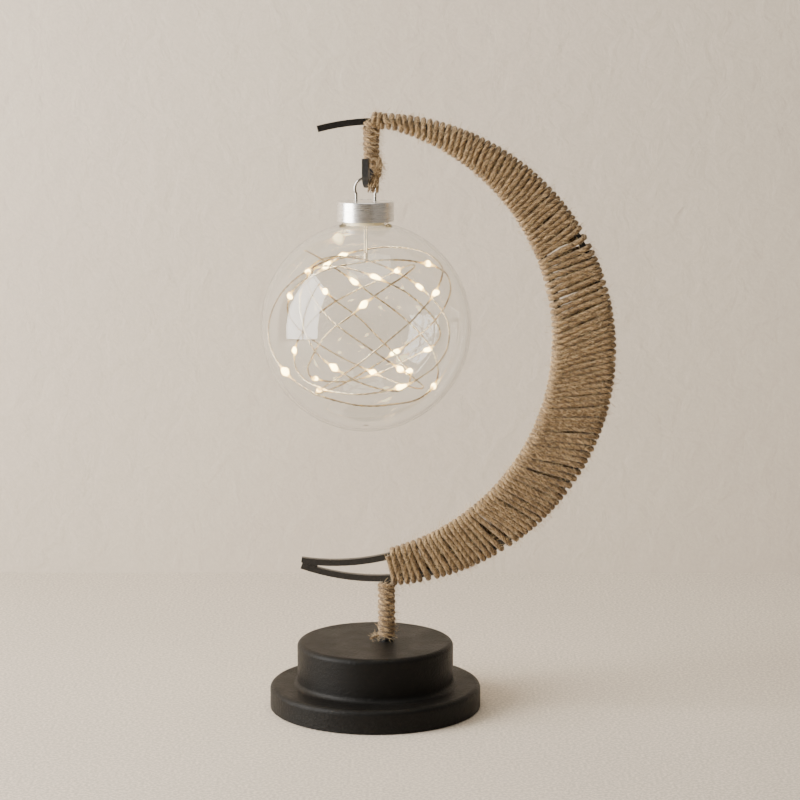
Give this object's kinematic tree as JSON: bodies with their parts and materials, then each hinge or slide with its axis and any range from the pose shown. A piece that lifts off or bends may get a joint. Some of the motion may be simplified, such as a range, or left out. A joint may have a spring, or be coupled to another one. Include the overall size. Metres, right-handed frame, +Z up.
{
  "type": "crescent stand globe lamp",
  "caption": "Crescent moon table stand wound with jute cord, with a clear glass globe of fairy lights hung from a hook by a wire bail and battery cap.",
  "frame": {"origin": "centre of the round base, on the table surface under the felt", "axes": "+Z up, +X towards the bulge of the crescent, +Y away from the viewer who sees the crescent open to the left"},
  "size_m": [0.1696, 0.1022, 0.2872],
  "materials": {
    "felt": "wool felt, charcoal",
    "black_powder": "matt black powder coat, fine sand texture",
    "zinc_sheet": "plain zinc-plated sheet",
    "zinc_screw": "zinc-plated fasteners",
    "iron": "as-cast grey iron",
    "black_bar": "semi-matt black lacquer on square bar",
    "jute": "natural twisted jute, slightly hairy",
    "bright_wire": "polished steel wire",
    "satin_cap": "satin drawn aluminium",
    "cream_plastic": "moulded cream plastic",
    "cell_steel": "nickel-plated cell cans",
    "contact_brass": "thin brass sheet",
    "black_plastic": "black moulded plastic",
    "white_plastic": "white moulded plastic",
    "clear_glass": "clear blown glass",
    "light_wire": "thin lacquered copper-silver wire",
    "bead_resin": "clear resin drop over a warm white chip"
  },
  "bodies": {
    "stand": {"felt_pad": "felt", "base_shell": "black_powder", "base_cover": "zinc_sheet", "cover_screws": "zinc_screw", "ballast": "iron", "stem_rod": "black_bar", "stem_washer": "zinc_screw", "stem_nut": "zinc_screw", "stem_wrap": "jute", "outer_bow": "black_bar", "inner_bow": "black_bar", "horn_weld": "black_bar", "crescent_wrap": "jute", "hook_bar": "black_bar", "hook_wrap": "jute"},
    "bail": {"bail": "bright_wire"},
    "cap": {"cap_shell": "satin_cap", "neck_liner": "cream_plastic", "battery_holder": "cream_plastic", "coin_cells": "cell_steel", "contact_plates": "contact_brass", "holder_lid": "cream_plastic", "switch_body": "black_plastic", "lead_wires": "light_wire"},
    "switch": {"switch_knob": "white_plastic"},
    "globe": {"glass_globe": "clear_glass", "splice_tube": "white_plastic", "fairy_wire": "light_wire", "fairy_beads": "bead_resin"}
  },
  "joints": [
    {"name": "bail_swing", "type": "hinge", "parent": "stand", "child": "bail", "pos_m": [-0.0042, -0.00101, 0.25127], "axis": [0, 1, 0], "range_deg": [-20, 20]},
    {"name": "cap_tilt", "type": "hinge", "parent": "bail", "child": "cap", "pos_m": [-0.0042, -0.00101, 0.24407], "axis": [1, 0, 0], "range_deg": [-10, 10]},
    {"name": "switch_slide", "type": "slide", "parent": "cap", "child": "switch", "axis": [1, 0, 0], "range_m": [-0.0012, 0.0012]},
    {"name": "globe_pull", "type": "slide", "parent": "cap", "child": "globe", "axis": [0, 0, -1], "range_m": [0, 0.012], "deforming": ["lead_wires"]}
  ]
}
